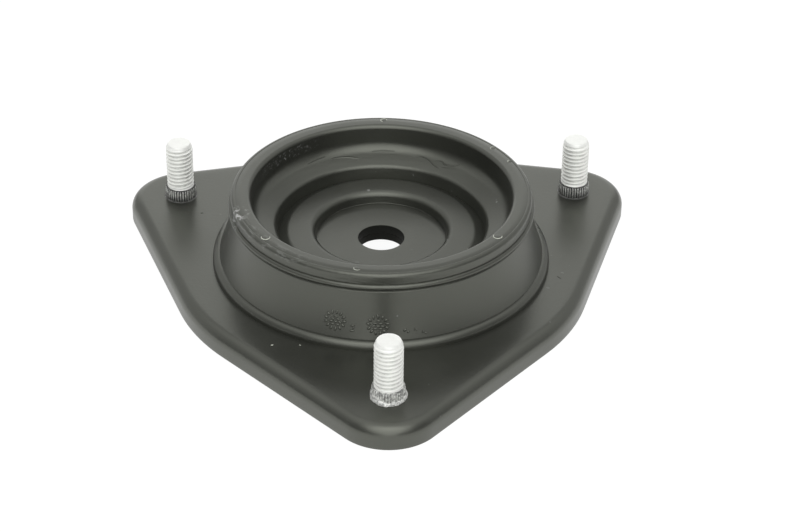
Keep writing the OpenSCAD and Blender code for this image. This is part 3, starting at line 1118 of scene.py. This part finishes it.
plate()
rubber()
seats()
studs = [stud(i, a) for i, a in enumerate(EARS)]
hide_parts("studs")
burr(EARS[0])
wall_marks()
ring_marks()
seat_flash()
flow_marks()
plate_marks()

# Camera at the photograph's viewing angle: place in millimetres, angles in degrees
CAMERA_AT = (-18.381, -565.198, 369.979)
CAMERA_HEADING = -2.4052
CAMERA_TILT = 56.5342
CAMERA_ROLL = 0.7527

# Focal length and picture width in pixels, sensor width in millimetres, clipping in metres
FOCAL_PX = 2344.367
PHOTO_PX = 799
SENSOR_MM = 36
CLIP = (0.01, 20)


def add_camera():
    data = bpy.data.cameras.new("camera")
    cam = bpy.data.objects.new("camera", data)
    scene.collection.objects.link(cam)
    pose = Matrix.Translation(Vector(CAMERA_AT) * MM)
    for angle, axis in ((CAMERA_HEADING, "Z"), (CAMERA_TILT, "X"), (CAMERA_ROLL, "Z")):
        pose = pose @ Matrix.Rotation(math.radians(angle), 4, axis)
    cam.matrix_world = pose
    data.sensor_fit = "HORIZONTAL"
    data.sensor_width = SENSOR_MM
    data.lens = FOCAL_PX / PHOTO_PX * SENSOR_MM
    data.clip_start, data.clip_end = CLIP
    scene.camera = cam


# Floor: half its width and its drop below the rim in metres, its tones and its glow
FLOOR_HALF = 4
FLOOR_DROP = 0.00005
FLOOR_PLAIN = 0.8
FLOOR_SHADE = 0.1
FLOOR_GLOW = 0.95


def diffuse(n, tone):
    node = n.add("ShaderNodeBsdfDiffuse")
    node.inputs["Color"].default_value = grey(tone)
    return node


def mix_shader(n, fac, first, second):
    node = n.add("ShaderNodeMixShader")
    n.link(fac, node.inputs[0])
    n.link(first.outputs[0], node.inputs[1])
    n.link(second.outputs[0], node.inputs[2])
    return node


def floor_material():
    """Glowing white with a soft shadow where it is seen or mirrored, and plain for other rays."""
    mat = bpy.data.materials.new("floor")
    mat.use_nodes = True
    n = Nodes(mat.node_tree)
    out = n.add("ShaderNodeOutputMaterial")
    rays = n.add("ShaderNodeLightPath").outputs
    bounced = n.math("MAXIMUM", rays["Is Glossy Ray"], rays["Is Transmission Ray"])
    seen = n.math("MAXIMUM", rays["Is Camera Ray"], bounced)
    glow = n.add("ShaderNodeEmission")
    glow.inputs["Color"].default_value = grey(1)
    glow.inputs["Strength"].default_value = FLOOR_GLOW
    both = n.add("ShaderNodeAddShader")
    n.link(diffuse(n, FLOOR_SHADE).outputs[0], both.inputs[0])
    n.link(glow.outputs[0], both.inputs[1])
    n.link(mix_shader(n, seen, diffuse(n, FLOOR_PLAIN), both).outputs[0], out.inputs["Surface"])
    return mat


def add_floor():
    corners = [(x * FLOOR_HALF, y * FLOOR_HALF, 0) for x, y in ((-1, -1), (1, -1), (1, 1), (-1, 1))]
    mesh = bpy.data.meshes.new("floor")
    mesh.from_pydata(corners, [], [(0, 1, 2, 3)])
    mesh.materials.append(floor_material())
    floor = bpy.data.objects.new("floor", mesh)
    floor.location = (0, 0, RIM_BOTTOM * MM - FLOOR_DROP)
    scene.collection.objects.link(floor)


# Soft lights, as azimuth, elevation, inner and outer reach in degrees, and strength
ROOM_LIGHT = 0.3
SOFT_LIGHTS = ((0, 90, 8, 55, 0.9), (-90, 46, 18, 44, 1.95), (-90, 4, 2, 20, 1.15),
               (90, 14, 2, 35, 1.45), (30, 26, 5, 42, 0.5), (150, 26, 5, 42, 0.5))


def towards(azimuth, elevation):
    a, e = math.radians(azimuth), math.radians(elevation)
    return (math.cos(e) * math.cos(a), math.cos(e) * math.sin(a), math.sin(e))


def add_studio():
    """A dim room with soft lights overhead, in front and behind, which the camera sees as plain white."""
    world = bpy.data.worlds.new("studio")
    scene.world = world
    world.use_nodes = True
    n = Nodes(world.node_tree)
    out = n.add("ShaderNodeOutputWorld")
    where = n.add("ShaderNodeTexCoord").outputs["Generated"]
    total = ROOM_LIGHT
    for azimuth, elevation, inner, outer, strength in SOFT_LIGHTS:
        aim = n.measure("DOT_PRODUCT", where, towards(azimuth, elevation))
        rim, middle = math.cos(math.radians(outer)), math.cos(math.radians(inner))
        total = n.plus(total, n.times(n.ramp(aim, rim, middle), strength))
    light = n.add("ShaderNodeBackground")
    n.put(light.inputs["Strength"], total)
    white = n.add("ShaderNodeBackground")
    white.inputs["Strength"].default_value = 1.0
    rays = n.add("ShaderNodeLightPath").outputs
    n.link(mix_shader(n, rays["Is Camera Ray"], light, white).outputs[0], out.inputs["Surface"])


add_camera()
add_floor()
add_studio()
scene.view_settings.view_transform = "Standard"
